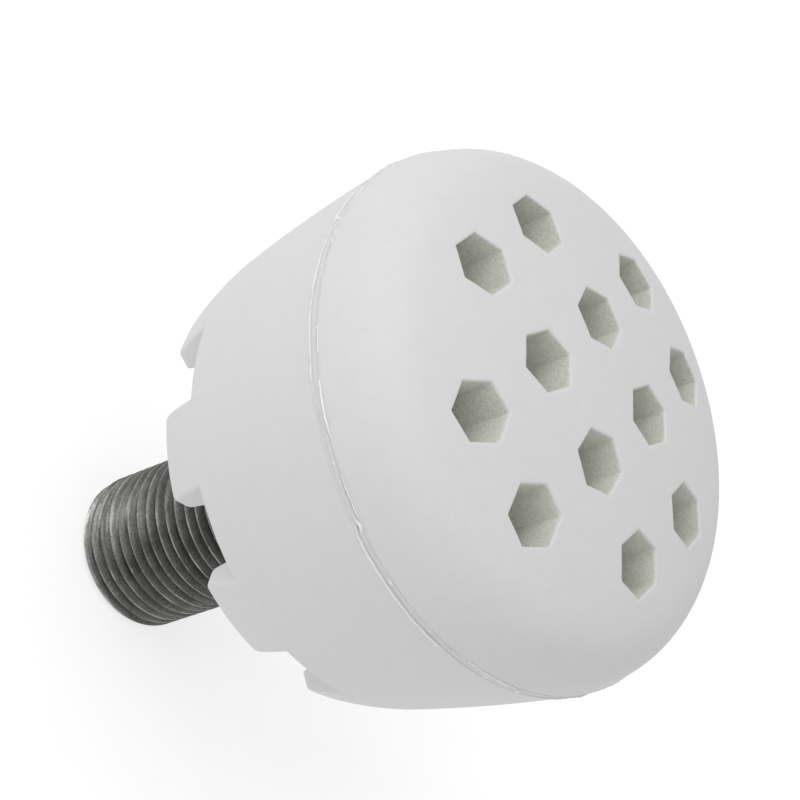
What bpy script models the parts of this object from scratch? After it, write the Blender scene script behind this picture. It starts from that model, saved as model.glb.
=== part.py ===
"""Pneumatic exhaust muffler: a moulded two-part body on a threaded steel pipe nipple.

Metres, +Z up. The origin is the centre of the nipple's inlet end, +Z runs along the
axis to the middle of the domed front, and X and Y run along the rows of front ports.
"""
import math

import bmesh
import bpy

MM = 0.001

# Driving dimensions
GAP = 0.3 * MM                    # clearance between neighbouring pieces
SHELL_SIDES = 48                  # facets round the large turned pieces
SMALL_SIDES = 24                  # facets round the small turned pieces

SEAM_Z = 67.1 * MM                # weld seam between cap and housing
SEAM_RADIUS = 33.3 * MM           # widest point of the body
WALL = 2.8 * MM                   # moulded wall of cap and housing
TONGUE_DEPTH = 2.0 * MM           # locating lip inside the seam
TONGUE_RADIUS = 31.6 * MM         # outside of that lip

DOME_TOP_Z = 80.9 * MM            # middle of the front
DOME_RADIUS = 97.2 * MM           # crown of the front
CORNER_RADIUS = 9.8 * MM          # rounding between side and front
CAP_DRAFT = math.radians(9.0)     # lean of the cap's side

PORT_PITCH = 13.0 * MM            # square grid of hexagonal ports
PORT_RADIUS = 3.89 * MM           # port, centre to corner
PORT_TUBE_WALL = 1.5 * MM         # tube round each port, at the corners
PORT_TUBE_END_Z = 71.1 * MM       # inner end of the port tubes
PORTS_IN_ROW = 4
PORT_TURN = math.radians(30)      # a flat side of each port faces the front's middle

SKIRT_END_Z = 36.7 * MM           # tips of the skirt's lugs
NOTCH_BASE_Z = 43.6 * MM          # floor of the notches between the lugs
BARREL_END_Z = 44.9 * MM          # where the outside starts to taper into the lugs
BARREL_SLOPE = 0.085              # radius lost per length just behind the seam
BARREL_CURVE = 2.2                # further radius lost per length squared, 1/m
TAPER_CURVE = 14.8                # the same along the lugs
LUG_TIP_LEAN = math.radians(22)   # lean of the taper where the tip's rounding starts
LUG_TIP_RADIUS = 1.4 * MM         # rounding of a lug's outer edge
SKIRT_INNER_RADIUS = 26.1 * MM
SKIRT_INNER_ROUNDING = 0.8 * MM
NOTCH_COUNT = 9
WIDE_NOTCH = math.radians(169.05)         # where the one wide notch is
WIDE_NOTCH_STEP = math.radians(41.25)     # from it to the notch on either side
WIDE_NOTCH_WIDTH = 11.1 * MM      # at its floor, at the gauge radius
NOTCH_WIDTH = 9.2 * MM            # the same for every other notch
NOTCH_GAUGE_RADIUS = 29.1 * MM
NOTCH_FLARE = 0.8                 # each side opens this much per length outwards
NOTCH_DRAFT = 0.13                # and this much per length towards the mouth

WEB_REAR_Z = 44.6 * MM            # wall that carries the nipple
WEB_FRONT_Z = 47.6 * MM
RIB_TOP_Z = 66.0 * MM             # ribs inside the housing carry the baffle plate
RIB_INNER_RADIUS = 25.0 * MM
RIB_LEDGE_RADIUS = 29.8 * MM      # a rib's top stops short of the cap's lip
RIB_THICKNESS = 1.6 * MM

THREAD_PITCH = 25.4 / 14 * MM     # 1/2-14 parallel pipe thread
THREAD_CREST = 10.35 * MM
THREAD_ROOT = 9.19 * MM
THREAD_SIDES = 20
NIPPLE_LENGTH = 58.5 * MM
NIPPLE_BORE = 7.9 * MM
NIPPLE_END_RADIUS = 9.65 * MM     # chamfered ends
NIPPLE_CHAMFER = 0.9 * MM
THREAD_HOLE = THREAD_CREST + GAP  # holes that the thread passes through

NUT_FLATS = 27.0 * MM
NUT_HEIGHT = 5.2 * MM
INNER_NUT_HEIGHT = 4.2 * MM
NUT_CHAMFER = 0.75 * MM           # height of the cone on a nut's corners
NUT_BLANK_SPARE = 0.1 * MM        # turned blank beyond the nut's corners
WASHER_RADIUS = 17.0 * MM
WASHER_THICKNESS = 1.2 * MM
SEAL_RADIUS = 16.5 * MM
SEAL_THICKNESS = 1.3 * MM

BAFFLE_RADIUS = 30.1 * MM
BAFFLE_THICKNESS = 1.2 * MM
BAFFLE_HOLE_TURN = math.radians(10)
BAFFLE_INNER_HOLES = (8, 20.5 * MM, 2.6 * MM)    # count, distance from the axis, radius
BAFFLE_OUTER_HOLES = (12, 26.2 * MM, 2.4 * MM)
FRONT_DISC_RADIUS = 29.3 * MM     # felt disc and screen behind the ports
FELT_DISC_THICKNESS = 2.2 * MM
SCREEN_THICKNESS = 0.5 * MM
SCREEN_PITCH = 7.4 * MM
SCREEN_HOLE = 5.6 * MM
SCREEN_RIM = 1.2 * MM

DIFFUSER_RADIUS = 12.6 * MM
DIFFUSER_SLOTS = 10
DIFFUSER_SLOT_WIDTH = 2.0 * MM
DIFFUSER_SLOT_START = 0.5 * MM    # slots start this far past the nipple's end
DIFFUSER_PLUG_START = 4.7 * MM    # and the plug this far
END_CAP_FLANGE = 0.8 * MM
INNER_FELT_RADIUS = 17.6 * MM
MESH_SLEEVE_WALL = 0.6 * MM
MESH_SLEEVE_SLOTS = 12
MESH_SLOT_WIDTH = 4.0 * MM
MESH_SLEEVE_BAND = 1.5 * MM       # closed band at each end of the mesh sleeve
MESH_SLEEVE_BRIDGE = 1.6 * MM     # and between its two rows of slots
LINER_INNER_RADIUS = 21.5 * MM
LINER_OUTER_RADIUS = 24.6 * MM
PAD_INNER_RADIUS = WASHER_RADIUS + GAP
PAD_THICKNESS = 2.5 * MM

SCREW_RADIUS = 1.5 * MM
SCREW_HEAD_RADIUS = 2.9 * MM
SCREW_HEAD_HEIGHT = 1.4 * MM
SCREW_HEAD_EDGE = 0.6 * MM        # upright edge of the head below its dome
SCREW_TAPER = 0.7                 # head's top and screw's end against their full radius
SCREW_POINT = 0.75 * MM           # length of the tapered end
SCREW_WASHER_RADIUS = 4.0 * MM
SCREW_WASHER_THICKNESS = 0.5 * MM
SCREW_RECESS_ARM = 1.6 * MM       # cross recess, centre to the end of an arm
SCREW_RECESS_WIDTH = 0.7 * MM
SCREW_RECESS_DEPTH = 0.8 * MM
SCREW_END_Z = 62.2 * MM

# Levels of the inner pieces, stacked from the web to the port tubes
INNER_WASHER_Z = WEB_FRONT_Z + GAP
INNER_NUT_Z = INNER_WASHER_Z + WASHER_THICKNESS + GAP
DIFFUSER_Z = INNER_NUT_Z + INNER_NUT_HEIGHT + GAP
SLEEVE_Z = WEB_FRONT_Z + GAP + PAD_THICKNESS + GAP
END_CAP_Z = RIB_TOP_Z - END_CAP_FLANGE
BAFFLE_Z = RIB_TOP_Z + GAP
FELT_DISC_Z = BAFFLE_Z + BAFFLE_THICKNESS + GAP
SCREEN_Z = FELT_DISC_Z + FELT_DISC_THICKNESS + GAP

# Levels of the pieces in the recess behind the web
SEAL_Z = WEB_REAR_Z - GAP - SEAL_THICKNESS
REAR_WASHER_Z = SEAL_Z - GAP - WASHER_THICKNESS
REAR_NUT_Z = REAR_WASHER_Z - GAP - NUT_HEIGHT


def clear_scene():
    for item in list(bpy.data.objects):
        bpy.data.objects.remove(item, do_unlink=True)


def make_material(name, colour, roughness, metallic=0.0):
    material = bpy.data.materials.new(name)
    material.use_nodes = True
    shader = material.node_tree.nodes["Principled BSDF"]
    shader.inputs["Base Color"].default_value = (*colour, 1.0)
    shader.inputs["Roughness"].default_value = roughness
    shader.inputs["Metallic"].default_value = metallic
    return material


def add_object(name, shape, material=None):
    """Turn a bmesh into a named object with smooth rounds and sharp edges."""
    bmesh.ops.recalc_face_normals(shape, faces=shape.faces)
    mesh = bpy.data.meshes.new(name)
    shape.to_mesh(mesh)
    shape.free()
    mesh.shade_smooth()
    mesh.set_sharp_from_angle(angle=math.radians(35))
    item = bpy.data.objects.new(name, mesh)
    bpy.context.collection.objects.link(item)
    if material:
        mesh.materials.append(material)
    return item


def combine(item, tool, operation):
    """Union or cut with a hidden guide object, which isn't part of the muffler."""
    tool.hide_render = True
    tool.display_type = "WIRE"
    modifier = item.modifiers.new(tool.name, "BOOLEAN")
    modifier.operation = operation
    modifier.solver = "EXACT"
    modifier.object = tool


def turned(profile, sides):
    """Spin a profile of (radius, z) points about the axis."""
    shape = bmesh.new()
    points = [shape.verts.new((radius, 0.0, z)) for radius, z in profile]
    ends_on_axis = profile[0][0] == 0.0 and profile[-1][0] == 0.0
    edges = [shape.edges.new(pair) for pair in zip(points, points[1:])]
    if not ends_on_axis:
        edges.append(shape.edges.new((points[-1], points[0])))
    bmesh.ops.spin(
        shape, geom=points + edges, cent=(0, 0, 0), axis=(0, 0, 1),
        angle=math.tau, steps=sides, use_merge=True)
    bmesh.ops.remove_doubles(shape, verts=shape.verts, dist=1e-7)
    return shape


def ring(inner, outer, low, high, sides=SMALL_SIDES):
    """A plain ring, or a disc when inner is zero."""
    if inner == 0.0:
        return turned([(0.0, low), (outer, low), (outer, high), (0.0, high)], sides)
    return turned([(inner, low), (outer, low), (outer, high), (inner, high)], sides)


def add_shell(shape, first, second):
    """Close the space between two matching rings of corners."""
    shape.faces.new(list(reversed(first)))
    shape.faces.new(second)
    for i, corner in enumerate(first):
        j = (i + 1) % len(first)
        shape.faces.new((corner, first[j], second[j], second[i]))


def add_prism(shape, outline, low, high):
    """Add a closed prism over an outline of (x, y) points to a bmesh."""
    bottom = [shape.verts.new((x, y, low)) for x, y in outline]
    top = [shape.verts.new((x, y, high)) for x, y in outline]
    add_shell(shape, bottom, top)


def polygon(x, y, radius, corners, turn=0.0):
    """Corners of a regular polygon, the first one at the angle turn."""
    angles = [turn + math.tau * i / corners for i in range(corners)]
    return [(x + radius * math.cos(a), y + radius * math.sin(a)) for a in angles]


def add_radial_slot(shape, angle, width, low, high, near, far):
    """Add a block that crosses a wall at this angle, from radius near to far."""
    across = (-math.sin(angle) * width / 2, math.cos(angle) * width / 2)
    along = (math.cos(angle), math.sin(angle))
    outline = [
        (along[0] * radius + side * across[0], along[1] * radius + side * across[1])
        for radius, side in ((near, -1), (far, -1), (far, 1), (near, 1))]
    add_prism(shape, outline, low, high)


def arc(centre, radius, start, end, steps):
    """Points on an arc in the (radius, z) plane; angles are from the radial direction."""
    angles = [start + (end - start) * i / steps for i in range(steps + 1)]
    return [
        (centre[0] + radius * math.cos(a), centre[1] + radius * math.sin(a))
        for a in angles]


def dome_height(radius, inset=0.0):
    """Height of the crowned front at a radius, inset by a wall thickness."""
    crown = DOME_RADIUS - inset
    return DOME_TOP_Z - DOME_RADIUS + math.sqrt(crown * crown - radius * radius)


def corner_centre():
    """Centre of the arc that joins the cap's leaning side to its crown."""
    normal = (math.cos(CAP_DRAFT), math.sin(CAP_DRAFT))
    along = (-normal[1], normal[0])
    base = (SEAM_RADIUS - CORNER_RADIUS * normal[0], SEAM_Z - CORNER_RADIUS * normal[1])
    depth = base[1] - (DOME_TOP_Z - DOME_RADIUS)
    reach = DOME_RADIUS - CORNER_RADIUS
    half = base[0] * along[0] + depth * along[1]
    travel = -half + math.sqrt(half * half - base[0] ** 2 - depth ** 2 + reach * reach)
    return (base[0] + travel * along[0], base[1] + travel * along[1])


def cap_skin(inset):
    """The cap's outside, or its inside when inset by the wall, from side to axis."""
    centre = corner_centre()
    crown_angle = math.atan2(centre[1] - (DOME_TOP_Z - DOME_RADIUS), centre[0])
    radius = CORNER_RADIUS - inset
    seam = SEAM_Z + GAP / 2
    normal = (math.cos(CAP_DRAFT), math.sin(CAP_DRAFT))
    start = SEAM_RADIUS - inset / normal[0] - (seam - SEAM_Z) * math.tan(CAP_DRAFT)
    points = [(start, seam)] + arc(centre, radius, CAP_DRAFT, crown_angle, 5)
    edge = points[-1][0]
    points += [(edge * i / 4, dome_height(edge * i / 4, inset)) for i in (3, 2, 1)]
    return points + [(0.0, dome_height(0.0, inset))]


def port_places():
    """Centre and hexagon turn of each port on a square grid without its corners."""
    places = []
    ends = (0, PORTS_IN_ROW - 1)
    middle = (PORTS_IN_ROW - 1) / 2
    for i in range(PORTS_IN_ROW):
        for j in range(PORTS_IN_ROW):
            if i in ends and j in ends:
                continue
            x = (i - middle) * PORT_PITCH
            y = (j - middle) * PORT_PITCH
            if i in ends:
                sector = math.atan2(0.0, x)
            elif j in ends:
                sector = math.atan2(y, 0.0)
            else:
                sector = math.atan2(y, x)
            places.append((x, y, sector + PORT_TURN))
    return places


def make_front_cap(material):
    outside = cap_skin(0.0)
    inside = cap_skin(WALL)
    lip = inside[0][0]
    seam = outside[0][1]
    tongue = [(lip, seam - TONGUE_DEPTH), (TONGUE_RADIUS, seam - TONGUE_DEPTH),
              (TONGUE_RADIUS, seam)]
    profile = list(reversed(inside)) + tongue + outside
    cap = add_object("front_cap", turned(profile, SHELL_SIDES), material)
    tubes = bmesh.new()
    holes = bmesh.new()
    for x, y, turn in port_places():
        middle = dome_height(math.hypot(x, y), WALL / 2)
        tube = polygon(x, y, PORT_RADIUS + PORT_TUBE_WALL, 6, turn)
        add_prism(tubes, tube, PORT_TUBE_END_Z, middle)
        hole = polygon(x, y, PORT_RADIUS, 6, turn)
        add_prism(holes, hole, PORT_TUBE_END_Z - WALL, DOME_TOP_Z + WALL)
    combine(cap, add_object("port_tube_guide", tubes), "UNION")
    combine(cap, add_object("port_hole_cutter", holes), "DIFFERENCE")


def barrel_radius(z):
    behind = SEAM_Z - z
    return SEAM_RADIUS - BARREL_SLOPE * behind - BARREL_CURVE * behind * behind


def lug_profile():
    """Outside of the skirt from the barrel down to the lugs' rounded tips."""
    start = barrel_radius(BARREL_END_Z)
    slope = BARREL_SLOPE + 2 * BARREL_CURVE * (SEAM_Z - BARREL_END_Z)
    tip_z = SKIRT_END_Z + LUG_TIP_RADIUS
    length = BARREL_END_Z - tip_z + LUG_TIP_RADIUS * math.sin(LUG_TIP_LEAN)
    points = []
    for i in (1, 2, 3):
        step = length * i / 3
        radius = start - slope * step - TAPER_CURVE * step * step
        points.append((radius, BARREL_END_Z - step))
    tip_radius = points[-1][0] - LUG_TIP_RADIUS * math.cos(LUG_TIP_LEAN)
    tip = arc((tip_radius, tip_z), LUG_TIP_RADIUS, -LUG_TIP_LEAN, -math.pi / 2, 3)
    return points + tip[1:]


def make_rear_housing(material):
    outside = [(SEAM_RADIUS, SEAM_Z - GAP / 2)]
    for i in range(1, 7):
        z = SEAM_Z + (BARREL_END_Z - SEAM_Z) * i / 6
        outside.append((barrel_radius(z), z))
    outside += lug_profile()
    recess = [
        (SKIRT_INNER_RADIUS, SKIRT_END_Z + SKIRT_INNER_ROUNDING),
        (SKIRT_INNER_RADIUS, WEB_REAR_Z),
        (THREAD_HOLE, WEB_REAR_Z),
        (THREAD_HOLE, WEB_FRONT_Z)]
    groove = SEAM_Z - GAP / 2 - TONGUE_DEPTH
    inside = []
    for i in range(5):
        z = WEB_FRONT_Z + (groove - WEB_FRONT_Z) * i / 4
        inside.append((barrel_radius(z) - WALL, z))
    land = TONGUE_RADIUS + GAP
    joint = [(land, groove), (land, SEAM_Z - GAP / 2)]
    profile = outside + recess + inside + joint
    housing = add_object("rear_housing", turned(profile, SHELL_SIDES), material)
    combine(housing, make_rib_guide(), "UNION")
    combine(housing, make_notch_cutter(), "DIFFERENCE")


def notch_middle(i):
    """Angle of notch i, counted round from the wide one, which is notch 0."""
    turns, place = divmod(i, NOTCH_COUNT)
    even = (math.tau - 2 * WIDE_NOTCH_STEP) / (NOTCH_COUNT - 2)
    step = WIDE_NOTCH_STEP + even * (place - 1) if place else 0.0
    return WIDE_NOTCH + math.tau * turns + step


def make_rib_guide():
    """Upright ribs inside the housing, one behind each lug, joined to its wall."""
    ribs = bmesh.new()
    root = WEB_FRONT_Z - MM
    groove = SEAM_Z - GAP / 2 - TONGUE_DEPTH
    for i in range(NOTCH_COUNT):
        angle = (notch_middle(i) + notch_middle(i + 1)) / 2
        along = (math.cos(angle), math.sin(angle))
        across = (-along[1] * RIB_THICKNESS / 2, along[0] * RIB_THICKNESS / 2)
        outline = [
            (RIB_INNER_RADIUS, root), (barrel_radius(root) - WALL / 2, root),
            (barrel_radius(groove) - WALL / 2, groove - MM),
            (RIB_LEDGE_RADIUS, groove - MM), (RIB_LEDGE_RADIUS, RIB_TOP_Z),
            (RIB_INNER_RADIUS, RIB_TOP_Z)]
        sides = [
            [ribs.verts.new((r * along[0] + s * across[0], r * along[1] + s * across[1], z))
             for r, z in outline] for s in (-1, 1)]
        add_shell(ribs, *sides)
    return add_object("rib_guide", ribs)


def make_notch_cutter():
    """Wedges that open the skirt between its lugs, wider outside and at the mouth."""
    notches = bmesh.new()
    low = SKIRT_END_Z - 3 * MM
    near, far = SKIRT_INNER_RADIUS - 2 * MM, SEAM_RADIUS + 2 * MM
    for i in range(NOTCH_COUNT):
        angle = notch_middle(i)
        width = NOTCH_WIDTH if i else WIDE_NOTCH_WIDTH
        along = (math.cos(angle), math.sin(angle))
        rings = []
        for z in (low, NOTCH_BASE_Z):
            corners = []
            for radius, side in ((near, -1), (far, -1), (far, 1), (near, 1)):
                half = width / 2 + NOTCH_FLARE * (radius - NOTCH_GAUGE_RADIUS)
                shift = side * (half + NOTCH_DRAFT * (NOTCH_BASE_Z - z))
                place = (radius * along[0] - shift * along[1],
                         radius * along[1] + shift * along[0], z)
                corners.append(notches.verts.new(place))
            rings.append(corners)
        add_shell(notches, *rings)
    return add_object("notch_cutter", notches)


def make_inlet_nipple(material):
    """Steel pipe with a helical V thread over its whole length and chamfered ends."""
    shape = bmesh.new()
    sides = THREAD_SIDES
    first = NIPPLE_CHAMFER
    turns = int((NIPPLE_LENGTH - 2 * NIPPLE_CHAMFER) / THREAD_PITCH) - 1

    def circle(radius, z):
        return [shape.verts.new((x, y, z)) for x, y in polygon(0, 0, radius, sides)]

    def helix(radius, z, count):
        line = []
        for i in range(count):
            angle = math.tau * i / sides
            place = (radius * math.cos(angle), radius * math.sin(angle),
                     z + THREAD_PITCH * i / sides)
            line.append(shape.verts.new(place))
        return line

    steps = turns * sides
    crest = helix(THREAD_CREST, first, steps + sides + 1)
    root = helix(THREAD_ROOT, first + THREAD_PITCH / 2, steps + 1)
    low, high = circle(NIPPLE_END_RADIUS, 0.0), circle(NIPPLE_END_RADIUS, NIPPLE_LENGTH)
    bore_low, bore_high = circle(NIPPLE_BORE, 0.0), circle(NIPPLE_BORE, NIPPLE_LENGTH)
    face = shape.faces.new
    for i in range(steps):
        face((crest[i], crest[i + 1], root[i + 1], root[i]))
        face((root[i], root[i + 1], crest[i + 1 + sides], crest[i + sides]))
    for i in range(sides - 1):
        face((low[i], low[i + 1], crest[i + 1], crest[i]))
        top = steps + i + 1
        face((crest[top], crest[top + 1], high[(i + 2) % sides], high[i + 1]))
    face((low[-1], low[0], crest[0]))
    face((low[-1], crest[0], crest[sides - 1]))
    face((crest[sides - 1], crest[0], root[0]))
    face((crest[sides - 1], root[0], crest[sides]))
    face((crest[steps], crest[steps + 1], root[steps]))
    face((root[steps], crest[steps + 1], crest[steps + sides]))
    face((crest[steps + 1], high[1], high[0]))
    face((crest[steps + 1], high[0], crest[steps + sides]))
    for i in range(sides):
        j = (i + 1) % sides
        face((low[j], low[i], bore_low[i], bore_low[j]))
        face((high[i], high[j], bore_high[j], bore_high[i]))
        face((bore_low[i], bore_high[i], bore_high[j], bore_low[j]))
    add_object("inlet_nipple", shape, material)


def make_nut(name, low, height, material):
    """Hexagon nut: a chamfered turned blank cut to its six flats."""
    corner = NUT_FLATS / math.sqrt(3)
    flat = NUT_FLATS / 2
    blank = corner + NUT_BLANK_SPARE
    profile = [
        (THREAD_HOLE, low), (flat, low), (blank, low + NUT_CHAMFER),
        (blank, low + height - NUT_CHAMFER), (flat, low + height),
        (THREAD_HOLE, low + height)]
    nut = add_object(name, turned(profile, SMALL_SIDES), material)
    hexagon = bmesh.new()
    add_prism(hexagon, polygon(0, 0, corner, 6), low - MM, low + height + MM)
    combine(nut, add_object(name + "_flats", hexagon), "INTERSECT")


def make_fixing_rings(steel, rubber):
    """Washers and the sealing ring that clamp the nipple to the web."""
    washer = (THREAD_HOLE, WASHER_RADIUS)
    rear = ring(*washer, REAR_WASHER_Z, REAR_WASHER_Z + WASHER_THICKNESS)
    add_object("rear_flat_washer", rear, steel)
    inner = ring(*washer, INNER_WASHER_Z, INNER_WASHER_Z + WASHER_THICKNESS)
    add_object("inner_flat_washer", inner, steel)
    seal = ring(THREAD_HOLE, SEAL_RADIUS, SEAL_Z, SEAL_Z + SEAL_THICKNESS)
    add_object("rear_seal_ring", seal, rubber)


def make_slotted_tube(name, inner, outer, low, high, slots, width, rows, material):
    """A tube whose wall is opened by rows of upright slots."""
    tube = add_object(name, ring(inner, outer, low, high, SHELL_SIDES), material)
    cutter = bmesh.new()
    for row_low, row_high in rows:
        for i in range(slots):
            angle = math.tau * (i + 0.5) / slots
            add_radial_slot(cutter, angle, width, row_low, row_high, inner - MM, outer + MM)
    combine(tube, add_object(name + "_slots", cutter), "DIFFERENCE")


def make_diffuser(plastic):
    """Slotted tube on the nipple's inner end, with the plug that closes it."""
    top = END_CAP_Z - GAP
    low = NIPPLE_LENGTH + DIFFUSER_SLOT_START
    plug_low = NIPPLE_LENGTH + DIFFUSER_PLUG_START
    make_slotted_tube(
        "diffuser_tube", THREAD_HOLE, DIFFUSER_RADIUS, DIFFUSER_Z, top,
        DIFFUSER_SLOTS, DIFFUSER_SLOT_WIDTH, [(low, plug_low - GAP)], plastic)
    hole = SCREW_RADIUS + GAP
    plug = THREAD_HOLE - GAP
    profile = [
        (hole, plug_low), (plug, plug_low), (plug, END_CAP_Z),
        (DIFFUSER_RADIUS, END_CAP_Z), (DIFFUSER_RADIUS, RIB_TOP_Z), (hole, RIB_TOP_Z)]
    add_object("diffuser_end_cap", turned(profile, SMALL_SIDES), plastic)


def make_packing(felt, steel):
    """Absorbing felt round the diffuser, its steel sleeve, the liner and the pad."""
    sleeve = ring(DIFFUSER_RADIUS + GAP, INNER_FELT_RADIUS, DIFFUSER_Z, RIB_TOP_Z)
    add_object("inner_felt_sleeve", sleeve, felt)
    inner = INNER_FELT_RADIUS + GAP
    middle = (SLEEVE_Z + RIB_TOP_Z) / 2
    rows = [(SLEEVE_Z + MESH_SLEEVE_BAND, middle - MESH_SLEEVE_BRIDGE / 2),
            (middle + MESH_SLEEVE_BRIDGE / 2, RIB_TOP_Z - MESH_SLEEVE_BAND)]
    make_slotted_tube(
        "mesh_sleeve", inner, inner + MESH_SLEEVE_WALL, SLEEVE_Z, RIB_TOP_Z,
        MESH_SLEEVE_SLOTS, MESH_SLOT_WIDTH, rows, steel)
    liner = ring(LINER_INNER_RADIUS, LINER_OUTER_RADIUS, SLEEVE_Z, RIB_TOP_Z)
    add_object("felt_liner", liner, felt)
    pad_low = WEB_FRONT_Z + GAP
    pad = ring(PAD_INNER_RADIUS, LINER_OUTER_RADIUS, pad_low, pad_low + PAD_THICKNESS)
    add_object("rear_felt_pad", pad, felt)


def make_baffle_plate(steel):
    """Plate over the inner chamber, open only near its rim."""
    plate = ring(SCREW_RADIUS + GAP, BAFFLE_RADIUS, BAFFLE_Z, BAFFLE_Z + BAFFLE_THICKNESS,
                 SHELL_SIDES)
    baffle = add_object("baffle_plate", plate, steel)
    holes = bmesh.new()
    for count, distance, radius in (BAFFLE_INNER_HOLES, BAFFLE_OUTER_HOLES):
        for x, y in polygon(0, 0, distance, count, BAFFLE_HOLE_TURN):
            add_prism(holes, polygon(x, y, radius, 6), BAFFLE_Z - MM, BAFFLE_Z + 3 * MM)
    combine(baffle, add_object("baffle_holes", holes), "DIFFERENCE")


def make_front_layers(felt, steel):
    """Felt disc and the open screen that hold back the packing behind the ports."""
    disc = ring(SCREW_WASHER_RADIUS + GAP, FRONT_DISC_RADIUS, FELT_DISC_Z,
                FELT_DISC_Z + FELT_DISC_THICKNESS)
    add_object("front_felt_disc", disc, felt)
    sheet = ring(0.0, FRONT_DISC_RADIUS, SCREEN_Z, SCREEN_Z + SCREEN_THICKNESS, SHELL_SIDES)
    screen = add_object("retaining_screen", sheet, steel)
    holes = bmesh.new()
    reach = FRONT_DISC_RADIUS - SCREEN_RIM
    count = int(reach / SCREEN_PITCH) + 1
    for i in range(-count, count + 1):
        for j in range(-count, count + 1):
            x, y = i * SCREEN_PITCH, j * SCREEN_PITCH
            half = SCREEN_HOLE / 2
            if math.hypot(abs(x) + half, abs(y) + half) > reach:
                continue
            square = polygon(x, y, half * math.sqrt(2), 4, math.radians(45))
            add_prism(holes, square, SCREEN_Z - MM, SCREEN_Z + 2 * MM)
    combine(screen, add_object("screen_holes", holes), "DIFFERENCE")


def make_baffle_screw(steel):
    """Central screw and washer that hold the baffle plate to the diffuser's plug."""
    washer = ring(SCREW_RADIUS + GAP, SCREW_WASHER_RADIUS, FELT_DISC_Z,
                  FELT_DISC_Z + SCREW_WASHER_THICKNESS)
    add_object("baffle_screw_washer", washer, steel)
    head_low = FELT_DISC_Z + SCREW_WASHER_THICKNESS + GAP
    head_high = head_low + SCREW_HEAD_HEIGHT
    profile = [
        (0.0, SCREW_END_Z), (SCREW_RADIUS * SCREW_TAPER, SCREW_END_Z),
        (SCREW_RADIUS, SCREW_END_Z + SCREW_POINT), (SCREW_RADIUS, head_low),
        (SCREW_HEAD_RADIUS, head_low), (SCREW_HEAD_RADIUS, head_low + SCREW_HEAD_EDGE),
        (SCREW_HEAD_RADIUS * SCREW_TAPER, head_high), (0.0, head_high)]
    screw = add_object("baffle_screw", turned(profile, SMALL_SIDES), steel)
    recess = bmesh.new()
    arm, half = SCREW_RECESS_ARM, SCREW_RECESS_WIDTH / 2
    outline = []
    for quarter in range(4):
        turn = math.tau * quarter / 4
        for x, y in ((arm, -half), (arm, half), (half, half)):
            outline.append((x * math.cos(turn) - y * math.sin(turn),
                            x * math.sin(turn) + y * math.cos(turn)))
    add_prism(recess, outline, head_high - SCREW_RECESS_DEPTH, head_high + MM)
    cross = add_object("screw_recess", recess)
    combine(screw, cross, "DIFFERENCE")


def build():
    clear_scene()
    body = make_material("moulded_plastic", (0.80, 0.80, 0.78), 0.55)
    steel = make_material("threaded_steel", (0.30, 0.30, 0.29), 0.38, 1.0)
    zinc = make_material("zinc_plated_steel", (0.55, 0.56, 0.58), 0.35, 1.0)
    rubber = make_material("sealing_rubber", (0.03, 0.03, 0.03), 0.7)
    felt = make_material("absorbing_felt", (0.62, 0.60, 0.55), 0.95)
    insert = make_material("diffuser_plastic", (0.72, 0.72, 0.70), 0.5)
    make_front_cap(body)
    make_rear_housing(body)
    make_inlet_nipple(steel)
    make_nut("rear_lock_nut", REAR_NUT_Z, NUT_HEIGHT, zinc)
    make_nut("inner_lock_nut", INNER_NUT_Z, INNER_NUT_HEIGHT, zinc)
    make_fixing_rings(zinc, rubber)
    make_diffuser(insert)
    make_packing(felt, zinc)
    make_baffle_plate(zinc)
    make_front_layers(felt, zinc)
    make_baffle_screw(zinc)


build()
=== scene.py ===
import math

import bmesh
import bpy
from mathutils import Matrix, Vector, geometry, noise


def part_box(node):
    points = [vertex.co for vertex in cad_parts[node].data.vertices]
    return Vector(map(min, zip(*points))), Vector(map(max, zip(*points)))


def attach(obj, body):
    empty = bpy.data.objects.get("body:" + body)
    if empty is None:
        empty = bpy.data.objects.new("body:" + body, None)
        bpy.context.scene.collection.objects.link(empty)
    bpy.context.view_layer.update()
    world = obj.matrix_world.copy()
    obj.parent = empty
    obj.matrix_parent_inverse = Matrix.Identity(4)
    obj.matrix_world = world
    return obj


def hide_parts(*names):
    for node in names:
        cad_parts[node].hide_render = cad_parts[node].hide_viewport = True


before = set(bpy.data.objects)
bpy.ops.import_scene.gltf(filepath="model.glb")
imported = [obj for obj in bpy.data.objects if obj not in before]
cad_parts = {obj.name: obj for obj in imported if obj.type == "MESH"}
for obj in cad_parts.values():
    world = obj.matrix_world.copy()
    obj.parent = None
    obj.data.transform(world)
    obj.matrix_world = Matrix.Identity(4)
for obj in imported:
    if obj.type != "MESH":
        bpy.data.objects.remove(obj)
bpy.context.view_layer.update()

MM = 0.001
HOUSING_LOW, HOUSING_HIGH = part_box("rear_housing")
CAP_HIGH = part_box("front_cap")[1]
NIPPLE_LOW, NIPPLE_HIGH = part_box("inlet_nipple")
SCREEN_LOW, SCREEN_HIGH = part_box("retaining_screen")

GAP = 0.3 * MM
WALL = 2.8 * MM
SEAM_Z = HOUSING_HIGH.z + GAP / 2
SEAM_RADIUS = HOUSING_HIGH.x
TONGUE_RADIUS = 31.6 * MM
TONGUE_DEPTH = 2.0 * MM
ROUND_SIDES = 192

DOME_TOP_Z = CAP_HIGH.z
DOME_RADIUS = 97.2 * MM
CORNER_RADIUS = 9.8 * MM
CAP_DRAFT = math.radians(9.0)

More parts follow.
